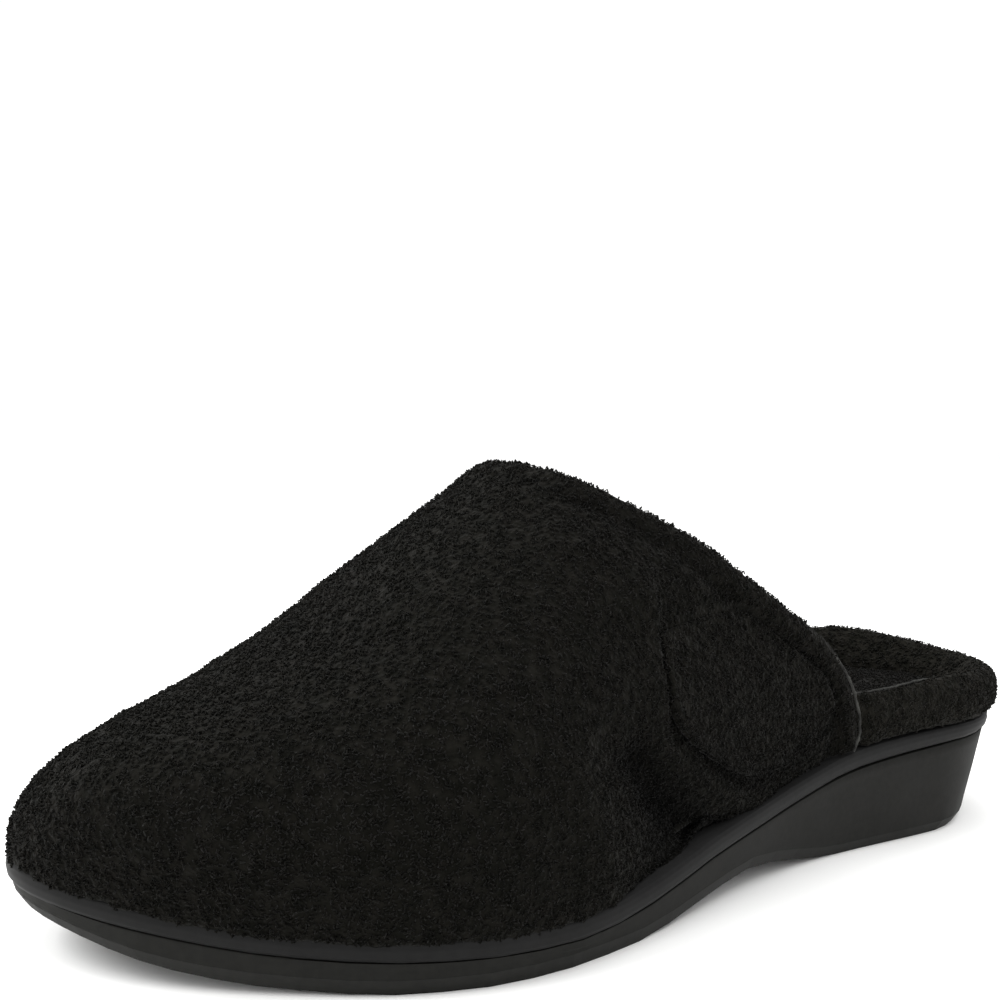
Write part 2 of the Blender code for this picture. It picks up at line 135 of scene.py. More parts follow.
# Lower outline of the tab's rounded end, from its rear to its front
TAB_OUTLINE = (
    (31, 44, 38), (32, 41, 34), (33.3, 34, 32), (34.5, 29, 30.5), (36, 23, 29.3),
    (37.4, 17, 28.4), (38.9, 11, 29), (40, 5, 31.5), (41, -0.5, 34.6), (41.6, -5.8, 38.4),
)
# Creases and swellings of the upper, along places on its outer face in millimetres: a name, the half width,
# how far the middle sinks, less than nothing where it swells, and how much painted shade darkens the pile
# there, less than nothing where painted light makes a swell paler.
FOLDS = (
    ("notch before the tab", 4.4, 3.4, 0.45,
     ((44.8, -24, 39.5), (45.1, -22, 36), (45.3, -18.5, 31), (44.9, -12.8, 26), (43.5, -5, 20.6),
      (41.3, 3.5, 18.4))),
    ("foot of the notch", 6.5, 1.2, 0.5, ((45.3, -18, 29), (46, -17.5, 24), (46, -17, 19))),
    ("heel of the notch", 5.0, 0.5, 0.25, ((44.9, -13, 26), (44.5, -7, 21.5), (43, -1, 18.5))),
    ("shadow in the notch", 6.5, 0.0, 0.2, ((44.6, -24, 39), (45.3, -18.5, 31), (44, -9, 22))),
    ("vamp beside the notch", 5.5, -1.2, -0.1, ((45, -40, 40), (46, -36, 30), (46, -32, 21))),
    ("roll under the tab", 3.6, -1.1, -0.12,
     ((43, -18, 41), (42.5, -10, 36), (41.5, -2, 30.5), (39, 9, 25), (37, 19, 23))),
    ("shadow line round the tab", 3.4, 0.6, 0.4, TAB_OUTLINE),
    ("flex crease over the toes", 6.0, 0.8, 0.1,
     ((-22, -72, 52), (-6, -75, 58), (8, -72, 60), (22, -66, 61))),
    ("swell behind the flex crease", 9.0, -0.6, 0.0, ((-16, -62, 62), (0, -62, 66), (14, -60, 67))),
    ("inner corner of the toe", 16.0, 2.3, 0.0, ((-38, -96, 34), (-28, -110, 36), (-12, -120, 34))),
    ("slack below the instep", 7.0, 0.8, 0.15, ((20, -28, 86), (25, -18, 82), (30, -10, 75))),
    ("slack above the instep's slack", 6.0, -0.5, 0.0, ((24, -34, 84), (30, -24, 78), (34, -14, 70))),
)
# Folds of the outer side are laid on the cloth from here, whatever its bulge
OUTER_FRONT = np.array((0.768, -0.585, 0.26)) / np.linalg.norm((0.768, -0.585, 0.26))
# The front edge of the hollow that takes the tab, which the cloth bridges in a soft curve
HOLLOW_FRONT = ((38, -38, 62), (44, -36, 48), (46, -32, 40), (47, -29, 30), (47, -25, 20))
# Where the cloth swells up to the tab's front edge, and how high, so that the two run into each other
TAB_FRONT = ((40.5, -17, 48), (39.8, -17, 53), (38.5, -17, 58), (36.5, -16.5, 63), (34.5, -16, 67))
TAB_FRONT_SWELL = 1.7 * MM
# Height over which the tab's upper end dives under the vamp's pile, and how deep it goes
TAB_DIVE = (46 * MM, 64 * MM, 2.0 * MM)
# How far the tab's rim curls in to the cloth, over this width, and how far its front edge is laid forward
TAB_CURL = 0.35 * MM
TAB_CURL_WIDTH = 4 * MM
TAB_FRONT_SHIFT = 1.0 * MM
# Stitched groove that runs beside the topline: how far inside it, half width, depth and the painted shade
# in it
TOPLINE_GROOVE = (6.3 * MM, 1.7 * MM, 0.7 * MM, 0.22)
# How much fuller than its solid the padded topline is, and how far in from it that reaches
TOPLINE_FULLNESS = 1.7 * MM
TOPLINE_REACH = 12 * MM
# Below this height the cut edge of the backing shows along the topline
CUT_EDGE_TOP = 66 * MM
# Radius of the cut edge and of the rim's seam, and how far each wanders
CUT_EDGE_YARN = (0.36 * MM, 0.25 * MM)
RIM_SEAM_YARN = (0.27 * MM, 0.2 * MM)
# The pile's lower edge hangs this far over the band, at these places along the foot
HANG_ALONG = (-0.07, -0.03, 0.03)
HANG = (2.4, 1.6, 1.1)
HANG_HEIGHT = 6 * MM
# How much higher than its solid the heel rim's inner side stands
RIM_LIFT = 2.2 * MM
# Seam along the crest of the heel rim's outer side, from the topline back to where pile hides it
RIM_SEAM = (
    (26.2, 54), (26.3, 57), (27.0, 59.5), (27.6, 62), (27.9, 67), (27.8, 72), (27.5, 77),
    (26.8, 82), (25.6, 86), (25, 91), (24.4, 98), (22.6, 105), (19.8, 111), (15.8, 116),
)
# The wedge's underside lies this far over the tread until glue draws it down
TREAD_GAP = 0.27 * MM
# How far the foot of the wedge's lip is raised, at the toe and at the heel
LIP_RISE = (0.85 * MM, 0.55 * MM)
# The upper's pile in three zones from heel to toe: name, rear end, front end and how much denser it is
PILE_ZONES = (
    ("quarter_loops", 0.1, -0.02, 1.0),
    ("vamp_loops", -0.02, -0.067, 1.08),
    ("toe_loops", -0.067, -0.2, 1.2),
)


def add(tree, kind, sockets=None, **settings):
    """Adds a node with its own settings; a socket takes a value or another node's output."""
    made = tree.nodes.new(kind)
    for name, value in settings.items():
        setattr(made, name, value)
    for name, value in (sockets or {}).items():
        if isinstance(value, bpy.types.NodeSocket):
            tree.links.new(value, made.inputs[name])
        else:
            made.inputs[name].default_value = value
    return made


def new_material(name):
    """A material without nodes, and its tree."""
    material = bpy.data.materials.new(name)
    material.use_nodes = True
    material.node_tree.nodes.clear()
    return material, material.node_tree


def terry_material(name, terry, shade=1.0):
    """Cotton terry towelling: looped yarn that is matt and almost black, with next to no sheen.

    Clumps of loops are painted a little lighter than the gaps between them, painted light and shade which
    gives the eye its nap.
    The shade is the share of the settings' colours that a piece shows, more than 1 where the piece is
    paler.
    """
    tones = [[shade * value for value in tone[:3]] + [1] for tone in (terry.deep, terry.tip)]
    return looped_material(name, terry, tones)


def cut_edge_material(name, terry, share):
    """Cut edge of the knitted backing: worn grey yarn, which draws a thin pale line against black pile."""
    tones = [linear("262625"), [share * value for value in terry.edge[:3]] + [1]]
    return looped_material(name, terry, tones)


def looped_material(name, terry, tones):
    """Looped or cut yarn in a dark and a light tone, darkened by the painted shade that each point carries
    in the folds.
    """
    material, tree = new_material(name)
    place = add(tree, "ShaderNodeTexCoord").outputs["Object"]
    clumps = add(tree, "ShaderNodeTexNoise", {"Vector": place, "Scale": 0.7 / terry.clump, "Detail": 3.0})
    warp = add(tree, "ShaderNodeTexNoise", {"Vector": place, "Scale": 1 / (0.9 * MM), "Detail": 1.0})
    shifted = add(
        tree,
        "ShaderNodeVectorMath",
        {0: warp.outputs["Color"], 1: (0.5 * MM,) * 3},
        operation="MULTIPLY",
    )
    bent = add(tree, "ShaderNodeVectorMath", {0: place, 1: shifted.outputs["Vector"]}, operation="ADD")
    curls = add(
        tree,
        "ShaderNodeTexVoronoi",
        {"Vector": bent.outputs["Vector"], "Scale": 1 / (0.75 * MM)},
        feature="SMOOTH_F1",
    )
    # Patches of painted light and painted shade, the size of a clump
    blend = add(
        tree,
        "ShaderNodeMapRange",
        {"Value": clumps.outputs["Fac"], "From Min": 0.35, "From Max": 0.65},
    )
    colour = add(tree, "ShaderNodeMix", data_type="RGBA")
    tree.links.new(blend.outputs["Result"], colour.inputs["Factor"])
    colour.inputs["A"].default_value, colour.inputs["B"].default_value = tones
    shaded = add(tree, "ShaderNodeAttribute", attribute_name="shade")
    toned = add(
        tree,
        "ShaderNodeVectorMath",
        {0: colour.outputs["Result"], "Scale": shaded.outputs["Fac"]},
        operation="SCALE",
    )
    bump = add(
        tree,
        "ShaderNodeBump",
        {"Height": curls.outputs["Distance"], "Strength": 1.0, "Distance": 0.5 * MM},
        invert=True,
    )
    shader = add(
        tree,
        "ShaderNodeBsdfPrincipled",
        {
            "Base Color": toned.outputs["Vector"],
            "Roughness": 0.9,
            "Sheen Weight": 0.03,
            "Sheen Roughness": 0.5,
            "Specular IOR Level": 0.05,
            "Normal": bump.outputs["Normal"],
        },
    )
    add(tree, "ShaderNodeOutputMaterial", {"Surface": shader.outputs["BSDF"]})
    return material


def moulded_material(name, colour, roughness, grain, bump_depth, gloss_level):
    """Moulded foam, rubber or coated cloth: a faint mottle, uneven gloss and a fine grain."""
    material, tree = new_material(name)
    place = add(tree, "ShaderNodeTexCoord").outputs["Object"]
    grains = add(tree, "ShaderNodeTexNoise", {"Vector": place, "Scale": 1 / grain, "Detail": 3.0})
    cloudy = add(tree, "ShaderNodeTexNoise", {"Vector": place, "Scale": 1 / (14 * MM), "Detail": 4.0})
    gloss = add(
        tree,
        "ShaderNodeMapRange",
        {"Value": cloudy.outputs["Fac"], "To Min": roughness - 0.08, "To Max": roughness + 0.1},
    )
    mottle = add(tree, "ShaderNodeTexNoise", {"Vector": place, "Scale": 1 / (1.6 * MM), "Detail": 3.0})
    amount = add(
        tree,
        "ShaderNodeMapRange",
        {"Value": mottle.outputs["Fac"], "From Min": 0.3, "From Max": 0.7, "To Min": 0.82, "To Max": 1.18},
    )
    toned = add(
        tree,
        "ShaderNodeVectorMath",
        {0: colour[:3], "Scale": amount.outputs["Result"]},
        operation="SCALE",
    )
    bump = add(
        tree,
        "ShaderNodeBump",
        {"Height": grains.outputs["Fac"], "Strength": 0.35, "Distance": bump_depth},
    )
    shader = add(
        tree,
        "ShaderNodeBsdfPrincipled",
        {
            "Base Color": toned.outputs["Vector"],
            "Roughness": gloss.outputs["Result"],
            "Specular IOR Level": gloss_level,
            "Normal": bump.outputs["Normal"],
        },
    )
    add(tree, "ShaderNodeOutputMaterial", {"Surface": shader.outputs["BSDF"]})
    return material


def cage_of(node, merge=0.05 * MM):
    """A merged copy of a solid's mesh, its triangles joined back into four-sided faces."""
    cage = bmesh.new()
    cage.from_mesh(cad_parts[node].data)
    bmesh.ops.remove_doubles(cage, verts=cage.verts, dist=merge)
    bmesh.ops.join_triangles(
        cage,
        faces=cage.faces,
        angle_face_threshold=math.radians(25),
        angle_shape_threshold=math.radians(60),
    )
    return cage


def crease_rings(cage):
    """Keeps the sole's outline rings where they are under subdivision, so that only they grow round."""
    layer = cage.edges.layers.float.new("crease_edge")
    for edge in cage.edges:
        rise = abs(edge.verts[0].co.z - edge.verts[1].co.z)
        if rise < 0.6 * edge.calc_length():
            edge[layer] = 1.0


def smoothed(name, cage, levels):
    """Mesh of a cage after Catmull-Clark subdivision; the cage is freed."""
    data = bpy.data.meshes.new(name)
    cage.to_mesh(data)
    cage.free()
    shape = bpy.data.objects.new(name, data)
    bpy.context.scene.collection.objects.link(shape)
    subdivision = shape.modifiers.new("smooth", "SUBSURF")
    subdivision.levels = levels
    subdivision.render_levels = levels
    graph = bpy.context.evaluated_depsgraph_get()
    result = bpy.data.meshes.new_from_object(shape.evaluated_get(graph))
    bpy.data.objects.remove(shape)
    bpy.data.meshes.remove(data)
    result.name = name
    return result


def points_and_normals(data):
    """A mesh's points and their normals, as two arrays of rows."""
    points = np.zeros(len(data.vertices) * 3)
    normals = np.zeros(len(data.vertices) * 3)
    data.vertices.foreach_get("co", points)
    data.vertex_normals.foreach_get("vector", normals)
    return points.reshape(-1, 3), normals.reshape(-1, 3)


def set_points(data, points):
    """Moves a mesh's points."""
    data.vertices.foreach_set("co", points.ravel())
    data.update()


def distance_to_path(points, path):
    """Distance of every point from a line through the path's places."""
    nearest = np.full(len(points), 1e9)
    for start, end in zip(path, path[1:]):
        along = end - start
        share = np.clip((points - start) @ along / (along @ along), 0, 1)
        gap = points - (start + share[:, None] * along)
        nearest = np.minimum(nearest, np.linalg.norm(gap, axis=1))
    return nearest


def fold_depth(points):
    """How far each point sinks in the upper's creases, less than nothing where it swells."""
    depth = np.zeros(len(points))
    for _, reach, sink, _, places in FOLDS:
        depth += sink * MM * nearness(points, reach, places)
    return depth


def painted_fold_shade(points):
    """Painted shade of the creases and painted light of the swells: the share of its colour that the pile
    keeps at each point.
    """
    shade = np.ones(len(points))
    for _, reach, _, painted_darkening, places in FOLDS:
        shade *= 1 - painted_darkening * nearness(points, reach, places)
    return shade


def nearness(points, reach, places):
    """1 on a path of places in millimetres, falling softly to nothing beyond its reach."""
    path = np.array(places, float) * MM
    if path[:, 0].min() < 28 * MM:
        return np.exp(-1.4 * (distance_to_path(points, path) / (reach * MM)) ** 2)
    flat = [cloth - np.outer(cloth @ OUTER_FRONT, OUTER_FRONT) for cloth in (points, path)]
    gap = distance_to_path(*flat) / (reach * MM)
    return np.where(points[:, 0] > 20 * MM, np.exp(-1.4 * gap**2), 0.0)


def pile_height(points, terry, seed):
    """Lumpy height of a terry pile: rounded clumps with deeper gaps, over slow swells."""
    heights = np.zeros(len(points))
    offset = Vector((seed * 7.1, seed * 3.7, seed * 5.3))
    for i, point in enumerate(points):
        place = Vector(point) / terry.clump + offset
        near = noise.voronoi(place + 0.35 * noise.noise_vector(place * 0.8))[0][0]
        swell = noise.noise(place * 0.22)
        heights[i] = (0.75 - near) * terry.relief + swell * 0.5 * terry.relief
    return heights


def finished(name, data, material, node):
    """Links a piece that stands for a solid, gives it its material and lets it ride on the slipper."""
    piece = bpy.data.objects.new(name, data)
    bpy.context.scene.collection.objects.link(piece)
    data.materials.clear()
    data.materials.append(material)
    data.shade_smooth()
    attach(piece, "root")
    if node:
        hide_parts(node)
    return piece


def outer_share(points, normals):
    """1 where a face of the upper looks outward, 0 on its lining, by where the foot would lie."""
    axis = np.zeros((len(points), 3))
    axis[:, 1] = np.maximum(points[:, 1], -98 * MM)
    axis[:, 2] = 26 * MM
    return ((points - axis) * normals).sum(axis=1) > 0


def loop_template(terry):
    """One arched loop of yarn: a three-sided section spun half round, leaning a little."""
    loop = bmesh.new()
    section = bmesh.ops.create_circle(loop, segments=3, radius=terry.yarn)
    bmesh.ops.translate(loop, verts=section["verts"], vec=(0.5 * terry.loop, 0, 0))
    bmesh.ops.spin(
        loop,
        geom=loop.verts[:] + loop.edges[:],
        cent=(0, 0, 0),
        axis=(0, -1, 0),
        angle=math.pi,
        steps=2,
    )
    bmesh.ops.holes_fill(loop, edges=[edge for edge in loop.edges if edge.is_boundary])
    bmesh.ops.recalc_face_normals(loop, faces=loop.faces)
    lean = Matrix(((1, 0, 0.25), (0, 1, 0.35), (0, 0, 1.15)))
    bmesh.ops.transform(loop, matrix=lean.to_4x4(), verts=loop.verts)
    data = bpy.data.meshes.new("yarn loop")
    loop.to_mesh(data)
    loop.free()
    template = bpy.data.objects.new("yarn loop", data)
    bpy.context.scene.collection.objects.link(template)
    return template


def pile_tree(template, density, seed):
    """Node group that stands bent loops of yarn over a cloth, each turned and leaned by chance."""
    tree = bpy.data.node_groups.new("terry pile", "GeometryNodeTree")
    tree.interface.new_socket("Cloth", in_out="INPUT", socket_type="NodeSocketGeometry")
    tree.interface.new_socket("Pile", in_out="OUTPUT", socket_type="NodeSocketGeometry")
    cloth = add(tree, "NodeGroupInput").outputs["Cloth"]
    shown = add(tree, "GeometryNodeInputNamedAttribute", {"Name": "pile"}, data_type="FLOAT")
    amount = add(
        tree,
        "ShaderNodeMath",
        {0: shown.outputs["Attribute"], 1: density / MM**2},
        operation="MULTIPLY",
    )
    spread = add(
        tree,
        "GeometryNodeDistributePointsOnFaces",
        {"Mesh": cloth, "Density": amount.outputs["Value"], "Seed": seed},
        distribute_method="RANDOM",
    )
    turn = add(
        tree,
        "FunctionNodeRandomValue",
        {"Min": (-0.6, -0.6, 0.0), "Max": (0.6, 0.6, math.tau), "Seed": seed + 1},
        data_type="FLOAT_VECTOR",
    )
    lean = add(tree, "FunctionNodeRotateRotation", rotation_space="LOCAL")
    tree.links.new(spread.outputs["Rotation"], lean.inputs["Rotation"])
    tree.links.new(turn.outputs["Value"], lean.inputs["Rotate By"])
    size = add(
        tree,
        "FunctionNodeRandomValue",
        {"Min": 0.7, "Max": 1.25, "Seed": seed + 2},
        data_type="FLOAT",
    )
    source = add(tree, "GeometryNodeObjectInfo", {"Object": template}, transform_space="ORIGINAL")
    placed = add(
        tree,
        "GeometryNodeInstanceOnPoints",
        {
            "Points": spread.outputs["Points"],
            "Instance": source.outputs["Geometry"],
            "Rotation": lean.outputs["Rotation"],
        },
    )
    tree.links.new(size.outputs[1], placed.inputs["Scale"])
    real = add(tree, "GeometryNodeRealizeInstances", {"Geometry": placed.outputs["Instances"]})
    add(tree, "NodeGroupOutput", {"Pile": real.outputs["Geometry"]})
    return tree


def loops_over(cloth, name, terry, seed, material, shares):
    """Joined mesh of yarn loops that stand on a cloth, as thick as the shares at its points ask."""
    set_attribute(cloth.data, "pile", shares)
    template = loop_template(terry)
    grower = cloth.copy()
    bpy.context.scene.collection.objects.link(grower)
    modifier = grower.modifiers.new("pile", "NODES")
    modifier.node_group = pile_tree(template, terry.density, seed)
    graph = bpy.context.evaluated_depsgraph_get()
    data = bpy.data.meshes.new_from_object(grower.evaluated_get(graph))
    data.name = name
    bpy.data.objects.remove(grower)
    bpy.data.objects.remove(template)
    return finished(name, data, material, None)


def set_attribute(data, name, values):
    """Gives every point of a mesh a number of its own."""
    layer = data.attributes.get(name) or data.attributes.new(name, "FLOAT", "POINT")
    layer.data.foreach_set("value", values.astype(np.float32))


def clumped(lumps, terry):
    """Share of loops at each point: thick on the clumps and thin in the gaps between them."""
    return np.clip(0.9 + 0.4 * lumps / terry.relief, 0.6, 1.2)


def tube(name, path, radius, wander, material, slot):
    """A thin cord through places on the slipper, as a mesh whose side wanders a little."""
    curve = bpy.data.curves.new(name, "CURVE")
    curve.dimensions = "3D"
    curve.bevel_depth = radius
    curve.bevel_resolution = 1
    curve.use_fill_caps = True
    curve.resolution_u = 4
    spline = curve.splines.new("NURBS")
    spline.points.add(len(path) - 1)
    for point, place in zip(spline.points, path):
        point.co = (*place, 1.0)
    spline.use_endpoint_u = True
    spline.order_u = 3
    shape = bpy.data.objects.new(name, curve)
    bpy.context.scene.collection.objects.link(shape)
    graph = bpy.context.evaluated_depsgraph_get()
    data = bpy.data.meshes.new_from_object(shape.evaluated_get(graph))
    bpy.data.objects.remove(shape)
    bpy.data.curves.remove(curve)
    cord = bmesh.new()
    cord.from_mesh(data)
    bmesh.ops.remove_doubles(cord, verts=cord.verts, dist=0.01 * MM)
    bmesh.ops.recalc_face_normals(cord, faces=cord.faces)
    for vertex in cord.verts:
        place = vertex.co / (1.3 * MM)
        vertex.co += noise.noise_vector(place) * wander
    cord.to_mesh(data)
    cord.free()
    set_attribute(data, "shade", np.ones(len(data.vertices)))
    return finished(name, data, material, None)


def topline(points):
    """Places along the upper's rear outer edge, from its outer foot over the peak to its inner one."""
    angle = np.arctan2(points[:, 2] - 26 * MM, points[:, 0] + 3 * MM)
    reach = np.hypot(points[:, 0] + 3 * MM, points[:, 2] - 30 * MM)
    places = []
    for middle in np.linspace(0.03, math.pi - 0.03, 48):
        near = np.flatnonzero((abs(angle - middle) < 0.035) & (points[:, 2] > 26.5 * MM))
        places.append(points[near[np.argmax(points[near, 1] + 0.6 * reach[near])]])
    places = np.array(places)
    for _ in range(3):
        places[1:-1] = (places[:-2] + 2 * places[1:-1] + places[2:]) / 4
    return places


class SLIPPER_OT_upper(bpy.types.Operator):
    """Terry upper with its lining, creases, pile and cut edge"""

    bl_idname = "slipper.upper"
    bl_label = "Upper"

    def execute(self, context):
        terry = context.scene.slipper_terry
        data = smoothed("upper_terry", cage_of("upper", 0.3 * MM), 2)
        self.refine(data)
        points, normals = points_and_normals(data)
        edge_line = topline(points)
        outer = outer_share(points, normals)
        depth = fold_depth(points)
        from_edge = distance_to_path(points, edge_line)
        inset, width, sink, painted_darkening = TOPLINE_GROOVE
        seam = np.exp(-(((from_edge - inset) / width) ** 2))
        # Painted shade in the creases and in the groove beside the topline, painted light on the swells
        shade = painted_fold_shade(points) * (1 - painted_darkening * np.where(points[:, 0] > 0, seam, 0))
        depth = np.where(outer, depth, -depth)
        depth += np.where(outer & (points[:, 0] > 0), sink * seam, 0)
        full = np.exp(-((from_edge / TOPLINE_REACH) ** 2))
        full *= np.interp(points[:, 2], (0.045, 0.06), (0, TOPLINE_FULLNESS))
        depth += np.where(outer, -full, full)
        swell = nearness(points, 7.0, TAB_FRONT) * np.interp(points[:, 1], (-0.0145, -0.0132), (1, 0))
        depth -= np.where(outer, swell * TAB_FRONT_SWELL, 0)
        set_points(data, points - normals * depth[:, None])
        points, normals = points_and_normals(data)
        lumps = pile_height(points, terry, 1)
        by_tab = nearness(points, 4.0, TAB_OUTLINE)
        rise = np.where(outer, lumps - terry.pile * (1 - by_tab), 0.25 * lumps)
        points += normals * rise[:, None]
        points[:, 2] -= self.overhang(points, outer)
        set_points(data, points)
        # The outer face carries that painted shade and painted light; the lining keeps 0.8 of its colours
        set_attribute(data, "shade", np.where(outer, shade, 0.8))
        material = terry_material("cotton_terry_towelling", terry)
        ground = terry_material("knitted_terry_ground", terry)
        piece = finished("upper_terry", data, ground, "upper")
        shares = np.where(outer, clumped(lumps, terry), 0.0)
        shares *= np.where((from_edge < 1.4 * MM) & (points[:, 2] < 60 * MM), 0.1, 1.0)
        shares *= np.where(self.under_tab(points), 0.0, 1.0)
        along = points[:, 1]
        for i, (name, rear, front, more) in enumerate(PILE_ZONES):
            zone = (along <= rear) & (along > front)
            loops_over(piece, name, terry, 11 + 4 * i, material, shares * zone * more)
        grey = cut_edge_material("cut_edge_of_backing", terry, 0.65)
        for side, name in ((1, "topline_edge"), (-1, "topline_edge_inner")):
            shown = edge_line[(edge_line[:, 2] < CUT_EDGE_TOP) & (edge_line[:, 0] * side > 0)]
            shown = shown + np.array((0.5 * side, 0.1, 0.1)) * MM
            tube(name, shown, *CUT_EDGE_YARN, grey, "upper_terry")
        return {"FINISHED"}

    def under_tab(self, points):
        """Where the cloth lies hidden below the closure tab."""
        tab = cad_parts["closure_tab"].data
        faces = [tuple(face.vertices) for face in tab.polygons]
        tree = BVHTree.FromPolygons([vertex.co for vertex in tab.vertices], faces)
        covered = np.zeros(len(points), bool)
        for i in np.flatnonzero((points[:, 0] > 25 * MM) & (points[:, 1] > -20 * MM)):
            covered[i] = tree.ray_cast(Vector(points[i]), Vector((1, 0, 0)), 4 * MM)[0] is not None
        return covered

    def refine(self, data):
        """Bridges the hollow's front edge softly, then halves the faces that show."""
        fine = bmesh.new()
        fine.from_mesh(data)
        points, normals = points_and_normals(data)
        near = distance_to_path(points, np.array(HOLLOW_FRONT, float) * MM) < 8 * MM
        fine.verts.ensure_lookup_table()
        soft = [fine.verts[i] for i in np.flatnonzero(near)]
        for _ in range(10):
            bmesh.ops.smooth_vert(
                fine, verts=soft, factor=0.5, use_axis_x=True, use_axis_y=True, use_axis_z=True
            )
        outer = outer_share(points, normals)
        faces = [face for face in fine.faces if all(outer[v.index] for v in face.verts)]
        edges = list({edge for face in faces for edge in face.edges})
        bmesh.ops.subdivide_edges(fine, edges=edges, cuts=1, use_grid_fill=True, smooth=0.0)
        fine.to_mesh(data)
        fine.free()

    def overhang(self, points, outer):
        """How far the pile's lower edge hangs over the band, in uneven scallops."""
        rows = {}
        foot = np.zeros(len(points))
        angle = np.round(np.arctan2(points[:, 0], points[:, 1] + 0.03) * 120).astype(int)
        for key in np.unique(angle):
            rows[key] = points[(angle == key) & outer, 2].min(initial=1.0)
        for key, low in rows.items():
            foot[angle == key] = low
        above = points[:, 2] - foot
        hang = np.zeros(len(points))
        for i in np.flatnonzero(outer & (above < HANG_HEIGHT)):
            wave = noise.noise(Vector(points[i]) / (5 * MM))
            most = np.interp(points[i][1], HANG_ALONG, HANG)
            hang[i] = (most + 0.8 * wave) * MM * max(0.0, 1 - above[i] / HANG_HEIGHT) ** 1.5
        return hang


class SLIPPER_OT_closure_tab(bpy.types.Operator):
    """Rounded terry end of the closure flap"""

    bl_idname = "slipper.closure_tab"
    bl_label = "Closure tab"

    def execute(self, context):
        terry = context.scene.slipper_terry
        cage = cage_of("closure_tab")
        layer = cage.edges.layers.float.new("crease_edge")
        crisp = [e for e in cage.edges if len(e.link_faces) == 2 and e.calc_face_angle() > math.radians(40)]
        rim = np.array([vertex.co[:] for edge in crisp for vertex in edge.verts])
        for edge in crisp:
            edge[layer] = 0.7
        data = smoothed("closure_tab_terry", cage, 2)
        points, normals = points_and_normals(data)
        from_rim = np.array([np.linalg.norm(rim - point, axis=1).min() for point in points])
        outer = normals[:, 0] > -0.3
        low, high, depth = TAB_DIVE
        dive = np.clip((points[:, 2] - low) / (high - low), 0, 1) ** 1.5 * depth
        lumps = pile_height(points, terry, 2)
        sink = terry.pile * np.clip(from_rim / TAB_CURL_WIDTH, 0, 1)
        rise = np.where(outer, lumps - sink, 0.2 * lumps)
        curl = TAB_CURL * np.clip(1 - from_rim / TAB_CURL_WIDTH, 0, 1) ** 1.5
        curl = np.where(outer & (normals[:, 0] > 0.3), curl, 0)
        # Painted shade round the tab's lower outline, where its edge would shade the cloth below
        shade = painted_fold_shade(points)
        front = np.interp(points[:, 1], (-0.004, 0.012), (1, 0))
        front = front * np.clip(1 - from_rim / TAB_CURL_WIDTH, 0, 1)
        points += normals * (rise - curl * (1 - front))[:, None] - np.outer(dive, (0.85, 0.2, 0.5))
        points += np.outer(front * TAB_FRONT_SHIFT, (0.0, -1.0, 0.0))
        set_points(data, points)
        set_attribute(data, "shade", shade)
        material = terry_material("cotton_terry_tab", terry)
        ground = terry_material("knitted_ground_of_tab", terry)
        piece = finished("closure_tab_terry", data, ground, "closure_tab")
        shares = np.where(outer, clumped(lumps, terry), 0.0)
        loops_over(piece, "closure_tab_loops", terry, 31, material, shares)
        return {"FINISHED"}


class SLIPPER_OT_heel_rim(bpy.types.Operator):
    """Padded terry roll around the open heel"""

    bl_idname = "slipper.heel_rim"
    bl_label = "Heel rim"

    def execute(self, context):
        terry = context.scene.slipper_terry
        data = smoothed("heel_rim_terry", cage_of("heel_rim"), 3)
        points, normals = points_and_normals(data)
        lumps = pile_height(points, terry, 3)
        foot = np.interp(points[:, 1], (51 * MM, 85 * MM, 131 * MM), self.foot_heights(points))
        hang = np.clip(1 - (points[:, 2] - foot) / (4 * MM), 0, 1) ** 1.5 * (0.9 * MM + lumps)
        lift = RIM_LIFT * np.interp(points[:, 0], (-0.022, 0.0), (1, 0))
        rising = np.interp(points[:, 2] - foot, (0, 0.012), (0, 1))
        lift *= rising * np.interp(points[:, 1], (0.115, 0.13), (1, 0.4))
        points += normals * (lumps - 0.7 * terry.pile)[:, None]
        points[:, 2] += lift
        outside = np.hypot(points[:, 0] + 3 * MM, np.maximum(points[:, 1] - 98 * MM, 0)) > 26 * MM
        points[:, 2] -= np.where(outside, hang, 0)
        set_points(data, points)
        shown = (normals[:, 2] > -0.7) & (points[:, 1] > 54 * MM)
        set_attribute(data, "shade", np.ones(len(points)))
        material = terry_material("cotton_terry_rim", terry, 1.7)
        # The rim's ground cloth is painted a little darker than its loops, painted shade between the loops
        ground = terry_material("knitted_ground_of_rim", terry, 1.5)
        piece = finished("heel_rim_terry", data, ground, "heel_rim")
        shares = np.where(shown, clumped(lumps, terry), 0.0)
        loops_over(piece, "heel_rim_loops", terry, 41, material, shares)
        grey = cut_edge_material("seam_of_rim", terry, 0.5)
        tube("rim_seam", self.seam_path(data), *RIM_SEAM_YARN, grey, "upper_terry")
        return {"FINISHED"}

    def foot_heights(self, points):
        """Lowest height of the rim near its front end, its middle and its back."""
        spans = ((51, 56), (82, 88), (122, 131))
        return [points[(points[:, 1] > a * MM) & (points[:, 1] < b * MM), 2].min() for a, b in spans]

    def seam_path(self, data):
        """Drops the seam's places onto the rim; its last ones sink into the pile."""
        faces = [tuple(face.vertices) for face in data.polygons]
        tree = BVHTree.FromPolygons([vertex.co for vertex in data.vertices], faces)
        path = []
        for i, (x, y) in enumerate(RIM_SEAM):
            top = tree.ray_cast(Vector((x * MM, y * MM, 0.08)), Vector((0, 0, -1)))[0]
            if top is None:
                raise RuntimeError("the seam leaves the heel rim")
            hidden = max(0, i - 8) * 0.22 * MM
            path.append(top + Vector((0, 0, 0.5 * MM - hidden)))
        return path


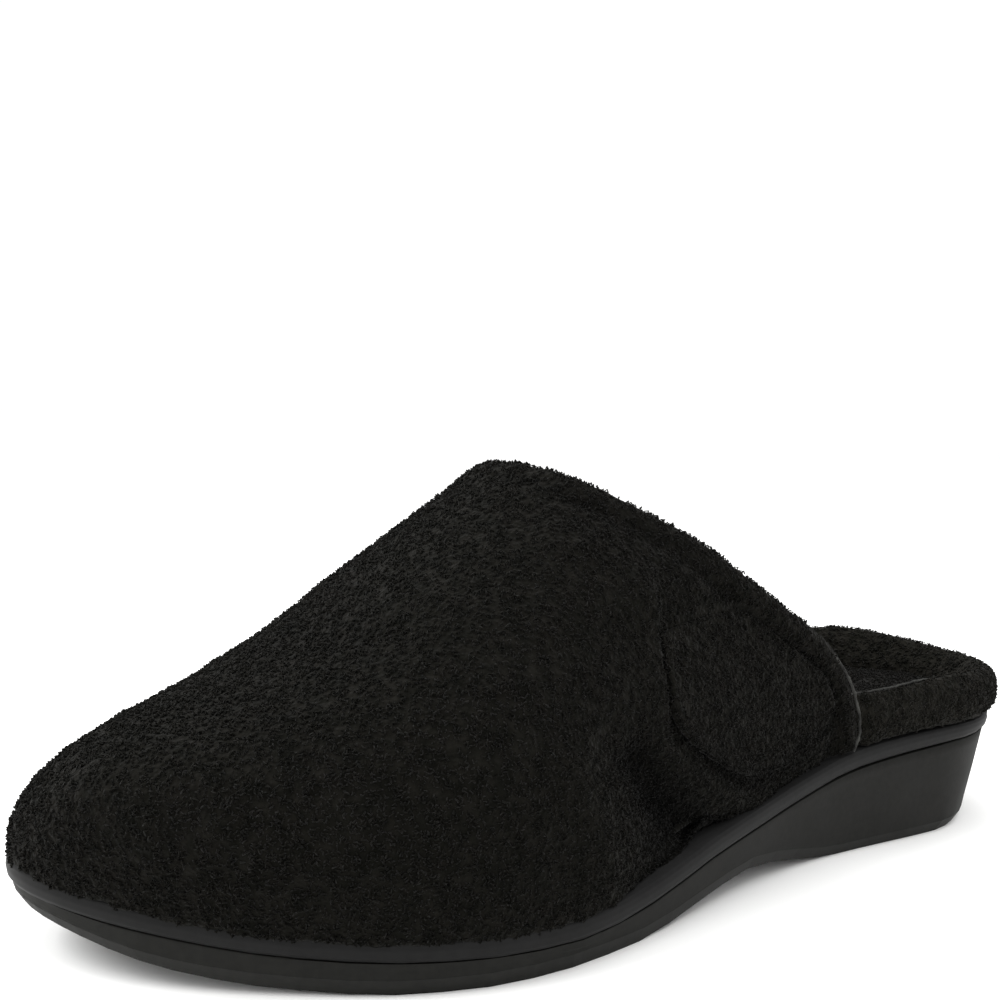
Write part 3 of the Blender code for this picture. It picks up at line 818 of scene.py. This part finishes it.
class SLIPPER_OT_footbed(bpy.types.Operator):
    """Terry footbed"""

    bl_idname = "slipper.footbed"
    bl_label = "Footbed"

    def execute(self, context):
        terry = context.scene.slipper_terry
        data = smoothed("footbed_terry", cage_of("footbed"), 2)
        points, normals = points_and_normals(data)
        lumps = pile_height(points, terry, 4) * 0.7
        top = normals[:, 2] > 0.5
        set_points(data, points + normals * (np.where(top, lumps, 0) - 0.2 * MM)[:, None])
        set_attribute(data, "shade", np.ones(len(points)))
        # The footbed's terry is painted darker than the rest, painted shade inside the slipper
        material = terry_material("cotton_terry_footbed", terry, 0.7)
        piece = finished("footbed_terry", data, material, "footbed")
        shares = np.where(top & (points[:, 1] > 44 * MM), clumped(lumps, terry), 0.0)
        loops_over(piece, "footbed_loops", terry, 51, material, shares)
        return {"FINISHED"}


class SLIPPER_OT_sole(bpy.types.Operator):
    """Platform wrap, foam wedge and rubber tread"""

    bl_idname = "slipper.sole"
    bl_label = "Sole"

    def execute(self, context):
        sole = context.scene.slipper_sole
        # Coated cloth is the smoothest of the three, so that the band shows a soft highlight
        wrap = moulded_material("coated_cloth_wrap", sole.wrap, 0.55, 0.9 * MM, 0.03 * MM, 0.13)
        # Moulded foam is dull and a little mottled, a shade lighter than the terry
        foam = moulded_material("moulded_eva_foam", sole.foam, 0.62, sole.grain, 0.08 * MM, 0.12)
        # Rubber is about as dull as the foam and a touch lighter
        rubber = moulded_material("moulded_rubber_tread", sole.rubber, 0.6, sole.grain, 0.08 * MM, 0.14)
        for node, material, slot in (("platform", wrap, "smooth_wrap"), ("midsole", foam, "wedge_foam")):
            cage = cage_of(node)
            crease_rings(cage)
            if node == "midsole":
                self.narrow_lip(cage)
            data = smoothed(node + "_skin", cage, 2)
            if node == "midsole":
                self.close_tread_gap(data)
            finished(node + "_skin", data, material, node)
            data.set_sharp_from_angle(angle=math.radians(38))
            if node == "midsole":
                self.darken_groove(data, sole)
        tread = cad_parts["outsole"]
        tread.data.materials.clear()
        tread.data.materials.append(rubber)
        return {"FINISHED"}

    def narrow_lip(self, cage):
        """Raises the foot of the wedge's lip, so that the groove is narrow, most of all at the toe."""
        raised = set()
        for face in cage.faces:
            if 0.45 < face.normal.z < 0.9:
                middle = face.calc_center_median().z
                raised.update(vertex for vertex in face.verts if vertex.co.z < middle)
        for vertex in raised:
            vertex.co.z += np.interp(vertex.co.y, (-0.06, 0.06), LIP_RISE)

    def close_tread_gap(self, data):
        """Brings the wedge's underside down onto the tread, to which it is glued."""
        points, normals = points_and_normals(data)
        points[:, 2] -= np.where(normals[:, 2] < -0.3, TREAD_GAP, 0.0)
        set_points(data, points)

    def darken_groove(self, data, sole):
        """Paints the wedge's lip, under the band, black as the painted shade of a narrow groove."""
        black = linear("0d0d0c")
        # Painted shade: a black, dull material on the lip's faces, whatever light reaches them
        groove = moulded_material("painted_shade_in_groove", black, 0.8, sole.grain, 0.02 * MM, 0.03)
        data.materials.append(groove)
        for face in data.polygons:
            if 0.45 < face.normal.z < 0.9:
                face.material_index = 1


class SLIPPER_OT_stage(bpy.types.Operator):
    """Pale floor, soft lights and the camera"""

    bl_idname = "slipper.stage"
    bl_label = "Stage"

    def execute(self, context):
        stage = context.scene.slipper_stage
        floor = bmesh.new()
        bmesh.ops.create_grid(floor, x_segments=1, y_segments=1, size=4.0)
        data = bpy.data.meshes.new("floor")
        floor.to_mesh(data)
        floor.free()
        plane = bpy.data.objects.new("floor", data)
        bpy.context.scene.collection.objects.link(plane)
        paper, tree = new_material("seamless_paper")
        shader = add(tree, "ShaderNodeBsdfPrincipled", {"Base Color": stage.floor, "Roughness": 0.9})
        add(tree, "ShaderNodeOutputMaterial", {"Surface": shader.outputs["BSDF"]})
        data.materials.append(paper)
        self.add_world(context)
        self.add_area("key", (-0.35, -0.9, 1.0), 0.7, 14)
        self.add_area("top", (0.2, 0.1, 1.3), 1.2, 10)
        self.add_camera(context, stage)
        context.scene.view_settings.view_transform = "Standard"
        return {"FINISHED"}

    def add_world(self, context):
        """Even white light from all round, which keeps the paper white up to its horizon."""
        world = bpy.data.worlds.new("white room")
        world.use_nodes = True
        tree = world.node_tree
        tree.nodes.clear()
        light = add(tree, "ShaderNodeBackground", {"Color": (1, 1, 1, 1), "Strength": 1.03})
        add(tree, "ShaderNodeOutputWorld", {"Surface": light.outputs["Background"]})
        context.scene.world = world

    def add_area(self, name, place, size, power):
        """A square soft light that faces the slipper."""
        data = bpy.data.lights.new(name, "AREA")
        data.size = size
        data.energy = power
        lamp = bpy.data.objects.new(name, data)
        lamp.location = place
        lamp.rotation_euler = (-Vector(place)).to_track_quat("-Z", "Y").to_euler()
        bpy.context.scene.collection.objects.link(lamp)

    def add_camera(self, context, stage):
        """Camera at the stage's angles, rolled about its own view."""
        turn, tilt = stage.azimuth, stage.elevation
        level = math.cos(tilt)
        back = Vector((math.sin(turn) * level, -math.cos(turn) * level, math.sin(tilt)))
        right = Vector((math.cos(turn), math.sin(turn), 0))
        up = back.cross(right)
        cosine, sine = math.cos(stage.roll), math.sin(stage.roll)
        rolled_right = cosine * right - sine * up
        rolled_up = sine * right + cosine * up
        pose = Matrix((rolled_right, rolled_up, back)).transposed().to_4x4()
        pose.translation = Vector(stage.target) + stage.distance * back
        data = bpy.data.cameras.new("camera")
        data.lens = stage.lens
        data.sensor_width = 36
        data.shift_x, data.shift_y = stage.shift
        data.clip_start = 0.01
        camera = bpy.data.objects.new("camera", data)
        camera.matrix_world = pose
        context.scene.collection.objects.link(camera)
        context.scene.camera = camera


class SLIPPER_PT_panel(bpy.types.Panel):
    """Buttons that make the slipper's pieces"""

    bl_idname = "SLIPPER_PT_panel"
    bl_label = "Scuff slipper"
    bl_space_type = "VIEW_3D"
    bl_region_type = "UI"
    bl_category = "Slipper"

    def draw(self, context):
        column = self.layout.column()
        for operator in OPERATORS:
            column.operator(operator.bl_idname)
        for group in ("slipper_terry", "slipper_sole", "slipper_stage"):
            settings = getattr(context.scene, group)
            for name in settings.__annotations__:
                column.prop(settings, name)


OPERATORS = (
    SLIPPER_OT_sole,
    SLIPPER_OT_footbed,
    SLIPPER_OT_heel_rim,
    SLIPPER_OT_upper,
    SLIPPER_OT_closure_tab,
    SLIPPER_OT_stage,
)
GROUPS = {"slipper_terry": TerrySettings, "slipper_sole": SoleSettings, "slipper_stage": StageSettings}


def register():
    """Makes the settings, the operators and the panel known to Blender."""
    for name, group in GROUPS.items():
        bpy.utils.register_class(group)
        setattr(bpy.types.Scene, name, bpy.props.PointerProperty(type=group))
    for item in (*OPERATORS, SLIPPER_PT_panel):
        bpy.utils.register_class(item)


def unregister():
    """Takes them away again."""
    for item in (SLIPPER_PT_panel, *reversed(OPERATORS)):
        bpy.utils.unregister_class(item)
    for name, group in GROUPS.items():
        delattr(bpy.types.Scene, name)
        bpy.utils.unregister_class(group)


def main():
    """Makes every piece and the stage."""
    register()
    bpy.ops.slipper.sole()
    bpy.ops.slipper.footbed()
    bpy.ops.slipper.heel_rim()
    bpy.ops.slipper.upper()
    bpy.ops.slipper.closure_tab()
    bpy.ops.slipper.stage()


if __name__ == "__main__":
    main()
